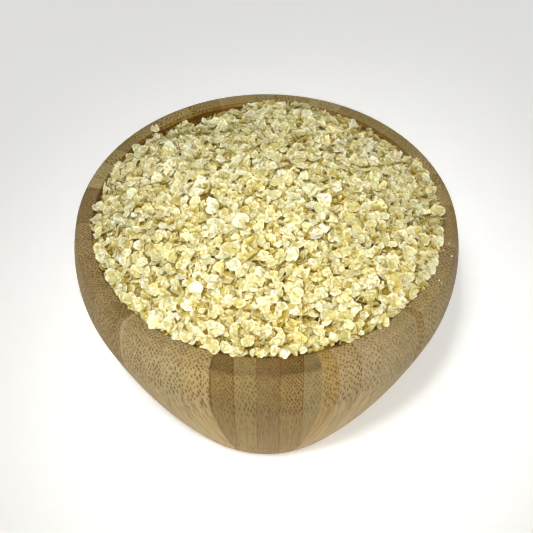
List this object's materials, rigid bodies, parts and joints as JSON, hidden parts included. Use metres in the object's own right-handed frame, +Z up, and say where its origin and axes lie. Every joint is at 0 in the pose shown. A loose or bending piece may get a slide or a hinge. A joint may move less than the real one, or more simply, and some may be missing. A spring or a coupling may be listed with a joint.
{
  "type": "bowl of millet flakes",
  "caption": "Round turned bamboo bowl, narrowing to a small flat foot, filled to a low dome with dry millet flakes.",
  "frame": {"origin": "centre of the bowl's flat foot, on the surface it stands on", "axes": "+Z up through the middle of the heap, -Y towards the side that faces the viewer, +X to the viewer's right"},
  "size_m": [0.1198, 0.12, 0.0931],
  "materials": {
    "bamboo": "satin, thinly oiled",
    "millet": "dry and matt"
  },
  "bodies": {
    "root": {"bowl": "bamboo", "flakes": "millet"}
  },
  "joints": []
}
